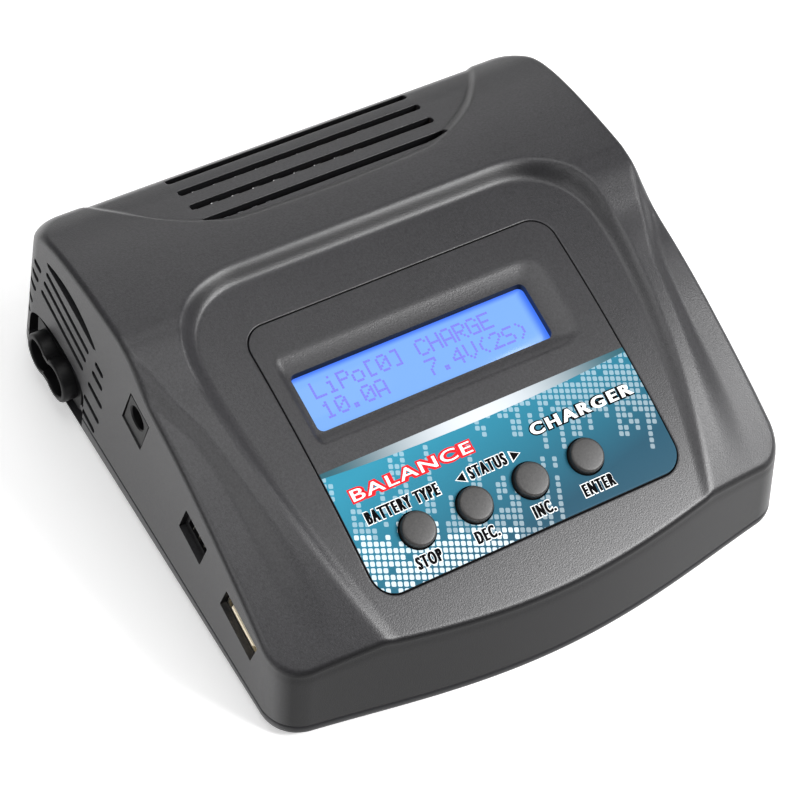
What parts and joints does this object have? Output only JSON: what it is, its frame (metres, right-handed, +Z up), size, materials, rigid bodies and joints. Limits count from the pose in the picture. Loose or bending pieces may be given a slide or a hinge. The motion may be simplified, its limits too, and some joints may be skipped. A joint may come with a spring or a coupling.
{
  "type": "balance battery charger",
  "caption": "Wedge-shaped desktop charger with a backlit display, a row of push buttons, side ports and a cooling fan; it charges and balances model battery packs.",
  "frame": {"origin": "centre of the bounding box in plan, at the underside of the feet", "axes": "+X to the user's right, towards the output sockets; +Y to the back; +Z up"},
  "size_m": [0.15, 0.1436, 0.0513],
  "materials": {
    "case_cover": "fine moulded texture, matt, charcoal grey",
    "case_base": "fine moulded texture, matt, charcoal grey",
    "key_cap": "smooth satin, warm dark grey",
    "label_film": "printed polyester film, semi gloss, blue green with white dots",
    "screen": "polished, lit light blue from behind",
    "black_metal": "black coating",
    "black_plastic": "smooth, black",
    "white_plastic": "smooth, off white",
    "red_plastic": "smooth, red",
    "circuit_board": "solder mask, green",
    "foot_rubber": "matt, black",
    "copper_wire": "enamelled copper windings",
    "ferrite": "sintered, dark grey",
    "aluminium": "extruded, satin",
    "tin_plate": "bright plated"
  },
  "bodies": {
    "case": {"upper_shell": "case_cover", "lower_shell": "case_base", "front_panel": "case_cover", "overlay_label": "label_film", "display_frame": "black_metal", "display_glass": "screen", "display_backlight": "white_plastic", "display_board": "circuit_board", "switch_stop": "black_plastic", "switch_decrease": "black_plastic", "switch_increase": "black_plastic", "switch_enter": "black_plastic", "key_board": "circuit_board", "main_board": "circuit_board", "dc_jack": "black_plastic", "sensor_port": "black_plastic", "usb_shell": "tin_plate", "usb_tongue": "white_plastic", "balance_socket_2s": "white_plastic", "balance_socket_3s": "white_plastic", "balance_socket_4s": "white_plastic", "balance_socket_5s": "white_plastic", "balance_socket_6s": "white_plastic", "buzzer": "black_plastic", "output_socket_red": "red_plastic", "output_socket_black": "black_plastic", "mains_inlet": "black_plastic", "power_board": "circuit_board", "transformer_core": "ferrite", "transformer_winding": "copper_wire", "charge_inductor": "copper_wire", "mains_capacitor_front": "black_plastic", "mains_capacitor_rear": "black_plastic", "heat_sink": "aluminium", "fan_frame": "black_plastic", "case_screw_1": "tin_plate", "case_screw_2": "tin_plate", "case_screw_3": "tin_plate", "case_screw_4": "tin_plate", "foot_1": "foot_rubber", "foot_2": "foot_rubber", "foot_3": "foot_rubber", "foot_4": "foot_rubber"},
    "key_stop": {"key_stop": "key_cap"},
    "key_decrease": {"key_decrease": "key_cap"},
    "key_increase": {"key_increase": "key_cap"},
    "key_enter": {"key_enter": "key_cap"},
    "fan_rotor": {"fan_rotor": "black_plastic"}
  },
  "joints": [
    {"name": "press_stop", "type": "slide", "parent": "case", "child": "key_stop", "axis": [0, 0.3289, -0.9444], "range_m": [0, 0.0006], "stiffness_N_per_m": 800},
    {"name": "press_decrease", "type": "slide", "parent": "case", "child": "key_decrease", "axis": [0, 0.3289, -0.9444], "range_m": [0, 0.0006], "stiffness_N_per_m": 800},
    {"name": "press_increase", "type": "slide", "parent": "case", "child": "key_increase", "axis": [0, 0.3289, -0.9444], "range_m": [0, 0.0006], "stiffness_N_per_m": 800},
    {"name": "press_enter", "type": "slide", "parent": "case", "child": "key_enter", "axis": [0, 0.3289, -0.9444], "range_m": [0, 0.0006], "stiffness_N_per_m": 800},
    {"name": "fan_spin", "type": "hinge", "parent": "case", "child": "fan_rotor", "pos_m": [-0.0618, 0.0455, 0.03], "axis": [1, 0, 0], "continuous": true}
  ]
}
